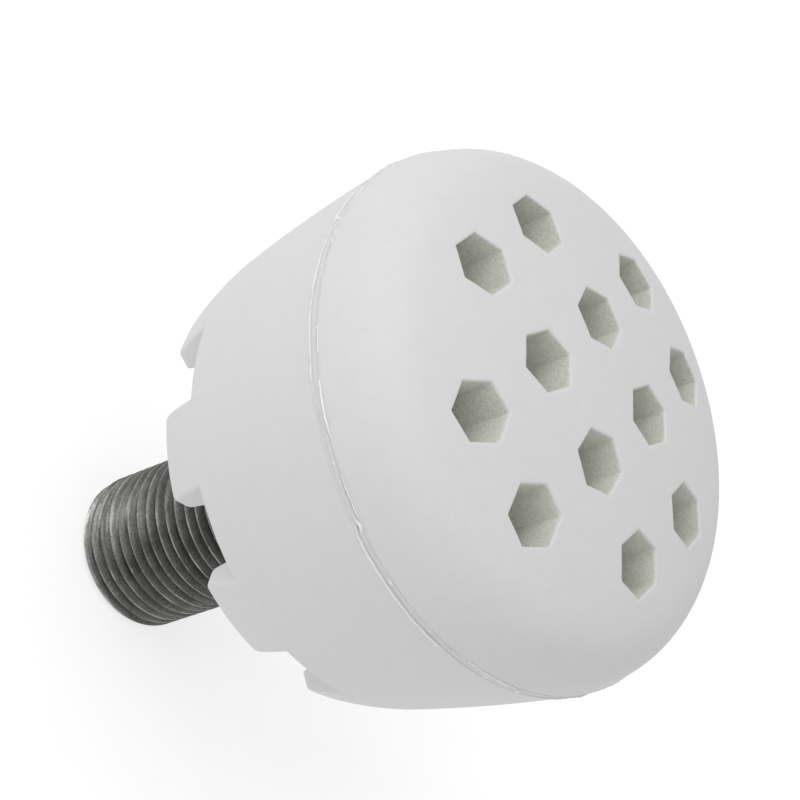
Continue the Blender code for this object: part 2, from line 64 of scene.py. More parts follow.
PORTS_IN_ROW = 4
PORT_PITCH = 13.0 * MM
PORT_APOTHEM = 3.37 * MM
PORT_ROUNDING = 0.22 * MM
PORT_FILLET = 0.32 * MM
TUBE_APOTHEM = 4.67 * MM
TUBE_END_Z = 71.1 * MM
TUBE_EDGE = 0.2 * MM              # bevel at the tubes' inner ends
CROWN_UNDERSIDE_RADIUS = 27.2 * MM
CAP_SIDE_FOOT = 0.45 * MM         # height over the seam where the cap's side starts
PLAN_PITCH = 1.5 * MM             # spacing of the points of a crowned sheet
PLAN_CLEARANCE = 1.6 * MM         # and how far they keep from a port
BLEND_REACH = 4.8 * MM            # half width of the blend between crown and corner

BARREL_SLOPE = 0.085
BARREL_CURVE = 2.2
TAPER_CURVE = 14.8
BARREL_END_Z = 44.9 * MM
NOTCH_BASE_Z = 43.6 * MM
SKIRT_END_Z = HOUSING_LOW.z
SKIRT_INNER_RADIUS = 26.1 * MM
WEB_REAR_Z = 44.6 * MM
WEB_FRONT_Z = 47.6 * MM
NOTCH_COUNT = 9
WIDE_NOTCH = math.radians(169.05)
WIDE_NOTCH_STEP = math.radians(41.25)
WIDE_NOTCH_WIDTH = 11.1 * MM
NOTCH_WIDTH = 9.2 * MM
LUG_CORNER_RADIUS = 1.2 * MM
COLUMN_EVEN_REACH = 6 * MM        # distance over which the columns even out
NOTCH_GAUGE_RADIUS = 29.1 * MM
NOTCH_FLARE = 0.8
NOTCH_DRAFT = 0.13
THREAD_HOLE = 10.65 * MM
FLASH_SWAP = math.radians(176.2)  # where the stronger ridge changes side
FLASH_SECTIONS = 1440

THREAD_PITCH = 25.4 / 14 * MM
THREAD_CREST = 10.35 * MM
THREAD_ROOT = 9.19 * MM
THREAD_SIDES = 144
NIPPLE_BORE = 7.9 * MM
NIPPLE_END_RADIUS = 9.65 * MM
NIPPLE_END_SLOPE = 0.75
NIPPLE_EDGE = 0.5 * MM            # bevel at the ends of the bore
PAINTED_SHEEN_SIDE = 2.15                # angle round the nipple where a highlight is painted near its end

NUT_LEAD_IN = 0.55 * MM
NUT_FACE_SHARE = 0.965            # radius of a nut's flat end against half its flats
NUT_SIDES = 96
NUT_EDGE = 0.12 * MM
WASHER_ROUNDING = 0.15 * MM
SEAL_ROUNDING = 0.4 * MM
SCREEN_PITCH = 1.15 * MM
SCREEN_WIRE = 0.11 * MM
SCREEN_RIM = 1.0 * MM


# ---------------------------------------------------------------- mesh helpers

def add_piece(name, shape, materials, replaced=(), sharp=40.0):
    """Turn a bmesh into a smooth piece that rides on the body."""
    bmesh.ops.recalc_face_normals(shape, faces=shape.faces)
    mesh = bpy.data.meshes.new(name)
    shape.to_mesh(mesh)
    shape.free()
    mesh.shade_smooth()
    mesh.set_sharp_from_angle(angle=math.radians(sharp))
    item = bpy.data.objects.new(name, mesh)
    bpy.context.scene.collection.objects.link(item)
    for material in materials:
        mesh.materials.append(material)
    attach(item, "root")
    if replaced:
        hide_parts(*replaced)
    return item


def weigh_normals(item):
    """Let large flat faces keep flat shading beside small roundings."""
    modifier = item.modifiers.new("normals", "WEIGHTED_NORMAL")
    modifier.keep_sharp = True
    modifier.weight = 60


def circle_ring(shape, radius, z, sides=ROUND_SIDES):
    ring = []
    for i in range(sides):
        angle = math.tau * i / sides
        ring.append(shape.verts.new((radius * math.cos(angle), radius * math.sin(angle), z)))
    return ring


def join_rings(shape, first, second, material_index=0):
    for i in range(len(first)):
        j = (i + 1) % len(first)
        face = shape.faces.new((first[i], first[j], second[j], second[i]))
        face.material_index = material_index


def join_all(shape, rings, closed=False):
    pairs = list(zip(rings, rings[1:]))
    if closed:
        pairs.append((rings[-1], rings[0]))
    for first, second in pairs:
        join_rings(shape, first, second)


def lathe(profile, sides=ROUND_SIDES):
    """Close a ring-shaped solid over a profile of (radius, z) points."""
    shape = bmesh.new()
    rings = [circle_ring(shape, radius, z, sides) for radius, z in profile]
    join_all(shape, rings, closed=True)
    return shape


def rounded_band(inner, outer, low, high, rounding, steps=3):
    """Profile of a ring of rectangular section with rounded corners."""
    corners = [(outer - rounding, low + rounding, -90), (outer - rounding, high - rounding, 0),
               (inner + rounding, high - rounding, 90), (inner + rounding, low + rounding, 180)]
    points = []
    for radius, z, start in corners:
        for i in range(steps + 1):
            angle = math.radians(start + 90 * i / steps)
            points.append((radius + rounding * math.cos(angle), z + rounding * math.sin(angle)))
    return points


# ------------------------------------------------------------------- materials

class Nodes:
    """Short names for building a procedural material."""

    def __init__(self, name):
        self.material = bpy.data.materials.new(name)
        self.material.use_nodes = True
        self.tree = self.material.node_tree
        self.shader = self.tree.nodes["Principled BSDF"]
        coordinates = self.tree.nodes.new("ShaderNodeTexCoord")
        self.place = coordinates.outputs["Object"]

    def link(self, source, target):
        self.tree.links.new(source, target)

    def noise(self, scale, detail=4.0, roughness=0.55, place=None, distortion=0.0):
        node = self.tree.nodes.new("ShaderNodeTexNoise")
        node.inputs["Scale"].default_value = scale
        node.inputs["Detail"].default_value = detail
        node.inputs["Roughness"].default_value = roughness
        node.inputs["Distortion"].default_value = distortion
        self.link(place or self.place, node.inputs["Vector"])
        return node.outputs["Fac"]

    def cells(self, scale, place=None):
        node = self.tree.nodes.new("ShaderNodeTexVoronoi")
        node.inputs["Scale"].default_value = scale
        self.link(place or self.place, node.inputs["Vector"])
        return node.outputs["Distance"]

    def ramp(self, source, stops):
        node = self.tree.nodes.new("ShaderNodeValToRGB")
        elements = node.color_ramp.elements
        while len(elements) < len(stops):
            elements.new(0.5)
        for element, (position, colour) in zip(elements, stops):
            element.position = position
            element.color = (*colour, 1.0)
        self.link(source, node.inputs["Fac"])
        return node.outputs["Color"]

    def spread(self, source, low, high, new_low, new_high):
        node = self.tree.nodes.new("ShaderNodeMapRange")
        node.inputs["From Min"].default_value = low
        node.inputs["From Max"].default_value = high
        node.inputs["To Min"].default_value = new_low
        node.inputs["To Max"].default_value = new_high
        self.link(source, node.inputs["Value"])
        return node.outputs["Result"]

    def math(self, operation, first, second=None):
        node = self.tree.nodes.new("ShaderNodeMath")
        node.operation = operation
        for socket, value in zip(node.inputs, (first, second)):
            if value is None:
                continue
            if isinstance(value, (int, float)):
                socket.default_value = value
            else:
                self.link(value, socket)
        return node.outputs["Value"]

    def mix(self, kind, factor, first, second):
        node = self.tree.nodes.new("ShaderNodeMix")
        node.data_type = "RGBA"
        node.blend_type = kind
        if isinstance(factor, (int, float)):
            node.inputs[0].default_value = factor
        else:
            self.link(factor, node.inputs[0])
        self.link(first, node.inputs[6])
        self.link(second, node.inputs[7])
        return node.outputs[2]

    def stretched(self, scale):
        node = self.tree.nodes.new("ShaderNodeMapping")
        node.inputs["Scale"].default_value = scale
        self.link(self.place, node.inputs["Vector"])
        return node.outputs["Vector"]

    def parts(self):
        node = self.tree.nodes.new("ShaderNodeSeparateXYZ")
        self.link(self.place, node.inputs[0])
        return node.outputs

    def polar(self):
        """Radius and turn about the axis, and the height."""
        x, y, z = self.parts()
        radius = self.math("SQRT", self.math("ADD", self.math("MULTIPLY", x, x),
                                             self.math("MULTIPLY", y, y)))
        return radius, self.math("ARCTAN2", y, x), z

    def combine(self, x, y, z):
        node = self.tree.nodes.new("ShaderNodeCombineXYZ")
        for socket, value in zip(node.inputs, (x, y, z)):
            if isinstance(value, (int, float)):
                socket.default_value = value
            else:
                self.link(value, socket)
        return node.outputs[0]

    def bump(self, heights):
        """Stack bumps given as (height, distance, strength)."""
        normal = None
        for height, distance, strength in heights:
            node = self.tree.nodes.new("ShaderNodeBump")
            node.inputs["Distance"].default_value = distance
            node.inputs["Strength"].default_value = strength
            self.link(height, node.inputs["Height"])
            if normal:
                self.link(normal, node.inputs["Normal"])
            normal = node.outputs["Normal"]
        self.link(normal, self.shader.inputs["Normal"])

    def colour(self, source):
        self.link(source, self.shader.inputs["Base Color"])

    def rough(self, source):
        self.link(source, self.shader.inputs["Roughness"])

    def set(self, **values):
        for name, value in values.items():
            self.shader.inputs[name.replace("_", " ")].default_value = value


def moulded_plastic():
    """Matt off-white plastic with a faint mottle, fine moulding grain and a little dust."""
    nodes = Nodes("moulded_plastic_finish")
    broad = nodes.noise(70.0, 3.0, 0.5)
    cloudy = nodes.noise(520.0, 5.0, 0.65)
    fine = nodes.noise(2400.0, 3.0, 0.6)
    base = nodes.ramp(broad, [(0.3, (0.602, 0.602, 0.601)), (0.7, (0.612, 0.612, 0.611))])
    mottle = nodes.ramp(cloudy, [(0.32, (0.975, 0.976, 0.975)), (0.6, (1.0, 1.0, 1.0))])
    specks = nodes.ramp(nodes.noise(1300.0, 2.0, 0.5),
                        [(0.22, (0.90, 0.90, 0.89)), (0.3, (1.0, 1.0, 1.0))])
    tone = nodes.mix("MULTIPLY", 1.0, base, mottle)
    nodes.colour(nodes.mix("MULTIPLY", 0.8, tone, specks))
    nodes.rough(nodes.spread(cloudy, 0.3, 0.7, 0.5, 0.62))
    nodes.bump([(cloudy, 0.06 * MM, 0.35), (fine, 0.03 * MM, 0.6)])
    nodes.set(IOR=1.46)
    return nodes.material


def port_plastic():
    """The same plastic inside the ports, duller and coarsely grained, with a greener tint painted
    in for how light falls inside them.
    """
    nodes = Nodes("port_wall_finish_painted_tint")
    grain = nodes.noise(3000.0, 3.0, 0.6)
    pits = nodes.cells(3400.0)
    broad = nodes.noise(260.0, 3.0, 0.5)
    # painted tint: the greener tone stands in for how light falls inside the ports; the grain is
    # the wall's own
    base = nodes.ramp(broad, [(0.3, (0.705, 0.71, 0.645)), (0.7, (0.765, 0.77, 0.715))])
    speckle = nodes.ramp(grain, [(0.34, (0.85, 0.855, 0.84)), (0.6, (1.0, 1.0, 1.0))])
    nodes.colour(nodes.mix("MULTIPLY", 1.0, base, speckle))
    nodes.rough(nodes.spread(grain, 0.3, 0.7, 0.6, 0.78))
    nodes.bump([(pits, 0.05 * MM, 0.6), (grain, 0.09 * MM, 0.8)])
    nodes.set(IOR=1.46)
    return nodes.material


def flash_plastic():
    """Weld flash along the seam: whitened on its ridges, with shade painted dark into its grooves.
    """
    nodes = Nodes("weld_flash_finish_painted_groove_shade")
    radius, _, _ = nodes.polar()
    waxy = nodes.noise(900.0, 4.0, 0.6)
    proud = nodes.spread(radius, SEAM_RADIUS - 0.22 * MM, SEAM_RADIUS + 0.10 * MM, 0.0, 1.0)
    # painted shade: the sunken grooves are darkened as if in shadow; the proud ridges are whitened
    tone = nodes.ramp(proud, [(0.0, (0.26, 0.26, 0.25)), (0.45, (0.57, 0.57, 0.568)),
                              (0.66, (0.60, 0.60, 0.60)), (1.0, (0.80, 0.80, 0.798))])
    mottle = nodes.ramp(waxy, [(0.3, (0.94, 0.94, 0.94)), (0.7, (1.0, 1.0, 1.0))])
    nodes.colour(nodes.mix("MULTIPLY", 1.0, tone, mottle))
    nodes.rough(nodes.spread(waxy, 0.3, 0.7, 0.36, 0.55))
    nodes.bump([(waxy, 0.05 * MM, 0.5)])
    nodes.set(IOR=1.46)
    return nodes.material


def threaded_steel():
    """Rolled steel thread: lighter towards the crests, darker in the roots, fine drawn marks, a
    painted highlight on one side and an end lighter from wear.
    """
    nodes = Nodes("threaded_steel_finish")
    radius, turn, height = nodes.polar()
    drawn = nodes.combine(nodes.math("MULTIPLY", turn, 0.6), nodes.math("MULTIPLY", height, 900.0),
                          nodes.math("MULTIPLY", radius, 900.0))
    marks = nodes.noise(1.6, 5.0, 0.7, drawn)
    blotch = nodes.noise(240.0, 4.0, 0.6)
    grit = nodes.noise(2800.0, 3.0, 0.6)
    # lighter towards the crests and darker in the roots, varied by the drawn marks
    crest = nodes.spread(radius, 9.3 * MM, 10.34 * MM, 0.0, 1.0)
    crest_and_marks = nodes.math("ADD", crest, nodes.spread(marks, 0.25, 0.75, -0.2, 0.1))
    base = nodes.ramp(crest_and_marks, [(0.0, (0.16, 0.1605, 0.157)), (0.62, (0.215, 0.216, 0.211)),
                             (0.93, (0.26, 0.262, 0.256)), (0.985, (0.50, 0.502, 0.495))])
    stain = nodes.ramp(blotch, [(0.32, (0.58, 0.58, 0.56)), (0.62, (1.0, 1.0, 1.0))])
    dust = nodes.ramp(grit, [(0.35, (0.66, 0.66, 0.65)), (0.62, (1.0, 1.0, 1.0))])
    # painted highlight: one side of the nipple, near its end, is made lighter where a lamp's
    # reflection would lie
    away = nodes.math("ABSOLUTE", nodes.math("SUBTRACT", turn, PAINTED_SHEEN_SIDE))
    painted_sheen = nodes.math("MULTIPLY", nodes.spread(away, 0.15, 0.75, 1.0, 0.0),
                        nodes.spread(height, 3 * MM, 15 * MM, 1.0, 0.0))
    # the end's chamfer is lighter from wear
    end = nodes.spread(height, 0.7 * MM, 1.5 * MM, 0.9, 0.0)
    # the lighter tone mixes the painted highlight with the end's wear
    sheen_and_end_wear = nodes.math("MULTIPLY", nodes.math("MAXIMUM", painted_sheen, end),
                        nodes.spread(marks, 0.38, 0.62, 0.1, 1.0))
    sheen_and_end_wear_tone = nodes.mix("MIX", sheen_and_end_wear, base, nodes.ramp(marks, [
        (0.35, (0.40, 0.40, 0.395)), (0.65, (0.82, 0.82, 0.815))]))
    streaks = nodes.ramp(marks, [(0.3, (0.66, 0.66, 0.65)), (0.66, (1.0, 1.0, 0.99))])
    tone = nodes.mix("MULTIPLY", 1.0, nodes.mix("MULTIPLY", 1.0, sheen_and_end_wear_tone, streaks), stain)
    nodes.colour(nodes.mix("MULTIPLY", 1.0, tone, dust))
    nodes.rough(nodes.spread(nodes.math("ADD", blotch, marks), 0.6, 1.4, 0.32, 0.56))
    nodes.bump([(marks, 0.08 * MM, 0.7), (grit, 0.04 * MM, 0.6)])
    nodes.set(Metallic=0.75)
    return nodes.material


def zinc_steel():
    """Zinc-plated steel with turned marks, a faint bluish spangle and dull patches."""
    nodes = Nodes("zinc_plated_finish")
    radius, turn, height = nodes.polar()
    turned = nodes.combine(nodes.math("MULTIPLY", turn, 0.5),
                           nodes.math("MULTIPLY", radius, 1800.0),
                           nodes.math("MULTIPLY", height, 1800.0))
    marks = nodes.noise(1.2, 4.0, 0.6, turned)
    spangle = nodes.noise(500.0, 4.0, 0.6)
    base = nodes.ramp(spangle, [(0.3, (0.46, 0.475, 0.49)), (0.7, (0.60, 0.61, 0.615))])
    tone = nodes.ramp(marks, [(0.3, (0.86, 0.86, 0.86)), (0.7, (1.0, 1.0, 1.0))])
    nodes.colour(nodes.mix("MULTIPLY", 1.0, base, tone))
    nodes.rough(nodes.spread(spangle, 0.3, 0.7, 0.28, 0.46))
    nodes.bump([(marks, 0.02 * MM, 0.5), (nodes.noise(2600.0, 3.0), 0.01 * MM, 0.5)])
    nodes.set(Metallic=1.0)
    return nodes.material


def sealing_rubber():
    nodes = Nodes("sealing_rubber_finish")
    bloom = nodes.noise(380.0, 5.0, 0.65)
    grit = nodes.noise(3200.0, 3.0, 0.6)
    nodes.colour(nodes.ramp(bloom, [(0.3, (0.018, 0.018, 0.019)), (0.75, (0.05, 0.05, 0.052))]))
    nodes.rough(nodes.spread(bloom, 0.3, 0.7, 0.55, 0.8))
    nodes.bump([(grit, 0.03 * MM, 0.6)])
    return nodes.material


def absorbing_felt():
    """Matted fibres: two crossed, stretched noises over a soft uneven pile."""
    nodes = Nodes("absorbing_felt_finish")
    along = nodes.noise(900.0, 4.0, 0.7, nodes.stretched((1.0, 0.16, 1.0)), 1.2)
    across = nodes.noise(900.0, 4.0, 0.7, nodes.stretched((0.16, 1.0, 1.0)), 1.2)
    fibres = nodes.math("MAXIMUM", along, across)
    pile = nodes.noise(260.0, 4.0, 0.6)
    base = nodes.ramp(fibres, [(0.42, (0.40, 0.385, 0.34)), (0.68, (0.66, 0.64, 0.58))])
    shade = nodes.ramp(pile, [(0.3, (0.78, 0.77, 0.75)), (0.65, (1.0, 1.0, 1.0))])
    nodes.colour(nodes.mix("MULTIPLY", 1.0, base, shade))
    nodes.rough(nodes.spread(pile, 0.3, 0.7, 0.88, 0.98))
    nodes.bump([(pile, 0.3 * MM, 0.6), (fibres, 0.15 * MM, 0.9)])
    return nodes.material


def insert_plastic():
    nodes = Nodes("diffuser_plastic_finish")
    flow = nodes.noise(180.0, 5.0, 0.6, nodes.stretched((1.0, 1.0, 0.35)))
    fine = nodes.noise(2400.0, 3.0, 0.6)
    nodes.colour(nodes.ramp(flow, [(0.3, (0.62, 0.62, 0.59)), (0.7, (0.72, 0.72, 0.69))]))
    nodes.rough(nodes.spread(flow, 0.3, 0.7, 0.42, 0.6))
    nodes.bump([(fine, 0.03 * MM, 0.6)])
    return nodes.material


def studio_floor():
    nodes = Nodes("studio_floor_finish")
    paper = nodes.noise(90.0, 4.0, 0.6)
    nodes.colour(nodes.ramp(paper, [(0.3, (0.39, 0.39, 0.39)), (0.7, (0.41, 0.41, 0.41))]))
    nodes.rough(nodes.spread(paper, 0.3, 0.7, 0.85, 0.95))
    nodes.bump([(nodes.noise(1400.0, 3.0), 0.02 * MM, 0.3)])
    nodes.set(Specular_IOR_Level=0.0, Emission_Color=(1.0, 1.0, 1.0, 1.0),
              Emission_Strength=0.66)
    return nodes.material


# --------------------------------------------------------------------- the cap

def dome_height(radius, inset=0.0):
    crown = DOME_RADIUS - inset
    return DOME_TOP_Z - DOME_RADIUS + math.sqrt(crown * crown - radius * radius)


def corner_centre():
    """Centre of the arc that joins the cap's leaning side to its crown."""
    normal = (math.cos(CAP_DRAFT), math.sin(CAP_DRAFT))
    along = (-normal[1], normal[0])
    base = (SEAM_RADIUS - CORNER_RADIUS * normal[0], SEAM_Z - CORNER_RADIUS * normal[1])
    depth = base[1] - (DOME_TOP_Z - DOME_RADIUS)
    reach = DOME_RADIUS - CORNER_RADIUS
    half = base[0] * along[0] + depth * along[1]
    travel = -half + math.sqrt(half * half - base[0] ** 2 - depth ** 2 + reach * reach)
    return (base[0] + travel * along[0], base[1] + travel * along[1])


CORNER = corner_centre()
CROWN_ANGLE = math.atan2(CORNER[1] - (DOME_TOP_Z - DOME_RADIUS), CORNER[0])


def meeting_radius(inset=0.0):
    """Radius at which the crown meets the corner's arc."""
    return CORNER[0] + (CORNER_RADIUS - inset) * math.cos(CROWN_ANGLE)


def sharp_height(radius, inset=0.0):
    """Height of the crown, or of the corner's arc outside the crown."""
    if radius <= meeting_radius(inset):
        return dome_height(radius, inset)
    rounding = CORNER_RADIUS - inset
    return CORNER[1] + math.sqrt(max(0.0, rounding ** 2 - (radius - CORNER[0]) ** 2))


def cap_height(radius, inset=0.0):
    """The same height, with the change of curvature where they meet spread out."""
    off = abs(radius - meeting_radius(inset)) / BLEND_REACH
    if off >= 1.0:
        return sharp_height(radius, inset)
    width = BLEND_REACH * (1 - off * off) ** 2
    samples = [sharp_height(radius + width * (i / 8 - 0.5), inset) for i in range(9)]
    return (sum(samples) - 0.5 * (samples[0] + samples[-1])) / 8


def port_places():
    """Centre and hexagon turn of each port on a square grid without its corners."""
    places = []
    ends = (0, PORTS_IN_ROW - 1)
    middle = (PORTS_IN_ROW - 1) / 2
    for i in range(PORTS_IN_ROW):
        for j in range(PORTS_IN_ROW):
            if i in ends and j in ends:
                continue
            x = (i - middle) * PORT_PITCH
            y = (j - middle) * PORT_PITCH
            if i in ends:
                sector = math.atan2(0.0, x)
            elif j in ends:
                sector = math.atan2(y, 0.0)
            else:
                sector = math.atan2(y, x)
            places.append((x, y, sector + math.radians(30)))
    return places


def hexagon(place, apothem, rounding, edge_points=4):
    """Outline of a hexagon with rounded corners, with the same count at every offset."""
    x, y, turn = place
    core = (apothem - rounding) / math.cos(math.radians(30))
    corners = []
    for corner in range(6):
        middle = turn + math.radians(60) * corner
        centre_x, centre_y = x + core * math.cos(middle), y + core * math.sin(middle)
        arc = []
        for step in (-2, -1, 0, 1, 2):
            angle = middle + math.radians(15) * step
            arc.append((centre_x + rounding * math.cos(angle),
                        centre_y + rounding * math.sin(angle)))
        corners.append(arc)
    outline = []
    for arc, following in zip(corners, corners[1:] + corners[:1]):
        outline += arc
        start, end = arc[-1], following[0]
        for i in range(1, edge_points + 1):
            part = i / (edge_points + 1)
            outline.append((start[0] + (end[0] - start[0]) * part,
                            start[1] + (end[1] - start[1]) * part))
    return outline


def hexagon_distance(place, x, y):
    """How far a point is outside the port's six sides."""
    reach = -1.0
    for side in range(6):
        angle = place[2] + math.radians(30 + 60 * side)
        reach = max(reach, (x - place[0]) * math.cos(angle) + (y - place[1]) * math.sin(angle))
    return reach - PORT_APOTHEM


def perforated_crown(shape, edge_radius, clearance, rounding, height):
    """A crowned sheet with hexagonal holes. Returns its outer ring and the hole rings."""
    places = port_places()
    points, edges = [], []

    def add_loop(loop):
        start = len(points)
        points.extend(loop)
        count = len(loop)
        edges.extend((start + i, start + (i + 1) % count) for i in range(count))
        return range(start, start + count)

    circle = []
    for i in range(ROUND_SIDES):
        angle = math.tau * i / ROUND_SIDES
        circle.append((edge_radius * math.cos(angle), edge_radius * math.sin(angle)))
    outer = add_loop(circle)
    holes = [add_loop(hexagon(place, PORT_APOTHEM + clearance, rounding)) for place in places]
    for place in places:
        for extra in (0.35 * MM, 0.9 * MM):
            loop = hexagon(place, PORT_APOTHEM + clearance + extra, rounding + extra)
            points.extend(p for p in loop if math.hypot(*p) < edge_radius - 0.4 * MM)
    count = int(edge_radius / PLAN_PITCH) + 2
    for i in range(-count, count + 1):
        for j in range(-count, count + 1):
            x = (i + 0.5 * (j % 2)) * PLAN_PITCH
            y = j * PLAN_PITCH * math.sqrt(3) / 2
            near = min(hexagon_distance(place, x, y) for place in places) - clearance
            if math.hypot(x, y) < edge_radius - 0.8 * PLAN_PITCH and near > PLAN_CLEARANCE:
                points.append((x, y))
    scaled = [Vector((x / MM, y / MM)) for x, y in points]
    result = geometry.delaunay_2d_cdt(scaled, edges, [], 0, 1e-6)
    where = {}
    for index, origins in enumerate(result[3]):
        for origin in origins:
            where[origin] = index
    made = []
    for point in result[0]:
        x, y = point[0] * MM, point[1] * MM
        made.append(shape.verts.new((x, y, height(math.hypot(x, y)))))
    for face in result[2]:
        x = sum(result[0][i][0] for i in face) / 3 * MM
        y = sum(result[0][i][1] for i in face) / 3 * MM
        if min(hexagon_distance(place, x, y) for place in places) > clearance:
            shape.faces.new([made[i] for i in face])
    return [made[where[i]] for i in outer], [[made[where[i]] for i in hole] for hole in holes]


def add_port_ring(shape, place, offset, drop, level=None):
    """One ring of a port: offset outwards, and dropped below the crown or at a level."""
    rounding = PORT_ROUNDING + offset
    ring = []
    for x, y in hexagon(place, PORT_APOTHEM + offset, rounding):
        z = level if level is not None else cap_height(math.hypot(x, y)) - drop
        ring.append(shape.verts.new((x, y, z)))
    return ring


def make_front_cap(body, port_wall):
    shape = bmesh.new()
    edge = CORNER[0] + CORNER_RADIUS * math.cos(CROWN_ANGLE)
    rim, holes = perforated_crown(
        shape, edge, PORT_FILLET, PORT_ROUNDING + PORT_FILLET, cap_height)
    tube_clearance = TUBE_APOTHEM - PORT_APOTHEM
    inner_rim, inner_holes = perforated_crown(
        shape, CROWN_UNDERSIDE_RADIUS, tube_clearance, PORT_ROUNDING + tube_clearance,
        lambda radius: cap_height(radius, WALL))
    for place, hole, inner_hole in zip(port_places(), holes, inner_holes):
        rings = [hole]
        for step in (1, 2, 3, 4):
            angle = math.radians(90) * step / 4
            offset = PORT_FILLET * (1 - math.sin(angle))
            rings.append(add_port_ring(shape, place, offset, PORT_FILLET * (1 - math.cos(angle))))
        rings.append(add_port_ring(shape, place, 0.0, 0.9 * MM))
        for level in (75.6 * MM, 73.3 * MM, TUBE_END_Z + TUBE_EDGE):
            rings.append(add_port_ring(shape, place, 0.0, 0.0, level))
        rings.append(add_port_ring(shape, place, TUBE_EDGE, 0.0, TUBE_END_Z))
        rings.append(add_port_ring(shape, place, tube_clearance, 0.0, TUBE_END_Z))
        rings.append(inner_hole)
        for index, (first, second) in enumerate(zip(rings, rings[1:])):
            join_rings(shape, first, second, 1 if index >= 3 else 0)
    rings = [rim]
    for i in range(1, 19):
        angle = CROWN_ANGLE + (CAP_DRAFT - CROWN_ANGLE) * i / 18
        radius = CORNER[0] + CORNER_RADIUS * math.cos(angle)
        rings.append(circle_ring(shape, radius, cap_height(radius)))
    side_end = SEAM_Z + CAP_SIDE_FOOT
    side_radius = SEAM_RADIUS - (side_end - SEAM_Z) * math.tan(CAP_DRAFT)
    low = SEAM_Z + GAP / 2
    lip = SEAM_RADIUS - WALL / math.cos(CAP_DRAFT)
    tongue_end = low - TONGUE_DEPTH
    for radius, z in ((side_radius + 0.1 * MM, side_end + 0.6 * MM), (side_radius, side_end),
                      (side_radius - 0.06 * MM, low + 0.08 * MM),
                      (side_radius - 0.2 * MM, low), (TONGUE_RADIUS, low),
                      (TONGUE_RADIUS, tongue_end + 0.3 * MM),
                      (TONGUE_RADIUS - 0.3 * MM, tongue_end), (lip, tongue_end), (lip, low)):
        rings.append(circle_ring(shape, radius, z))
    rounding = CORNER_RADIUS - WALL
    edge_angle = math.acos((CROWN_UNDERSIDE_RADIUS - CORNER[0]) / rounding)
    for i in range(7):
        angle = CAP_DRAFT + (edge_angle - CAP_DRAFT) * i / 7
        rings.append(circle_ring(shape, CORNER[0] + rounding * math.cos(angle),
                                 CORNER[1] + rounding * math.sin(angle)))
    rings.append(inner_rim)
    join_all(shape, rings)
    cap = add_piece("moulded_front_cap", shape, [body, port_wall],
                    ["front_cap"])
    weigh_normals(cap)


# ----------------------------------------------------------------- the housing

def barrel_radius(z):
    behind = SEAM_Z - z
    return SEAM_RADIUS - BARREL_SLOPE * behind - BARREL_CURVE * behind * behind


def outer_radius(z):
    """Outside of the housing: the barrel, and below it the taper of the lugs."""
    if z >= BARREL_END_Z:
        return barrel_radius(z)
    step = BARREL_END_Z - z
    slope = BARREL_SLOPE + 2 * BARREL_CURVE * (SEAM_Z - BARREL_END_Z)
    return barrel_radius(BARREL_END_Z) - slope * step - TAPER_CURVE * step * step


def notch_middle(i):
    """Angle of notch i, counted round from the wide one, which is notch 0."""
    turns, place = divmod(i, NOTCH_COUNT)
    even = (math.tau - 2 * WIDE_NOTCH_STEP) / (NOTCH_COUNT - 2)
    step = WIDE_NOTCH_STEP + even * (place - 1) if place else 0.0
    return WIDE_NOTCH + math.tau * turns + step


def notch_reach(i, radius, z):
    """Half the angle that notch i takes at this radius and level."""
    width = NOTCH_WIDTH if i % NOTCH_COUNT else WIDE_NOTCH_WIDTH
    below = max(0.0, NOTCH_BASE_Z - z)
    angle = math.radians(10)
    for _ in range(20):
        half = (width / 2 + NOTCH_FLARE * (radius * math.cos(angle) - NOTCH_GAUGE_RADIUS)
                + NOTCH_DRAFT * below)
        angle = 0.5 * (angle + math.asin(half / radius))
    return angle


# Columns of one sector, from the middle of a notch to the middle of the next:
# ("notch", part of the half notch), ("lug", part of the lug) or ("back", the next half notch)
COLUMNS = [
    ("notch", 0.0), ("notch", 0.55), ("notch", 0.93), ("lug", 0.0), ("lug", 0.06),
    ("lug", 0.3), ("lug", 0.5), ("lug", 0.7), ("lug", 0.94), ("lug", 1.0), ("back", 0.93),
    ("back", 0.55)]
LUG_FIRST, LUG_LAST = 3, 9
LUG_PARTS = 4                     # faces across a lug's thickness


def ease(value):
    value = min(1.0, max(0.0, value))
    return value * value * (3 - 2 * value)


def column_angle(column, radius, z):
    """Angle of a column: it follows the notch sides, and evens out away from them."""
    sector, place = divmod(column, len(COLUMNS))
    start = notch_middle(sector)
    pitch = notch_middle(sector + 1) - start
    kind, part = COLUMNS[place]
    wall_radius = max(radius, SKIRT_INNER_RADIUS)
    before = notch_reach(sector, wall_radius, z)
    after = notch_reach(sector + 1, wall_radius, z)
    if kind == "notch":
        local = part * before
    elif kind == "lug":
        above_tip = min(LUG_CORNER_RADIUS, max(0.0, z - SKIRT_END_Z))
        rest = LUG_CORNER_RADIUS - above_tip
        inset = LUG_CORNER_RADIUS - math.sqrt(LUG_CORNER_RADIUS ** 2 - rest ** 2)
        before += inset / wall_radius
        after += inset / wall_radius
        local = before + part * (pitch - before - after)
    else:
        local = pitch - part * after
    even = pitch * place / len(COLUMNS)
    blend = max(ease((z - BARREL_END_Z) / COLUMN_EVEN_REACH),
                ease((SKIRT_INNER_RADIUS - radius) / COLUMN_EVEN_REACH))
    return start + local + (even - local) * blend


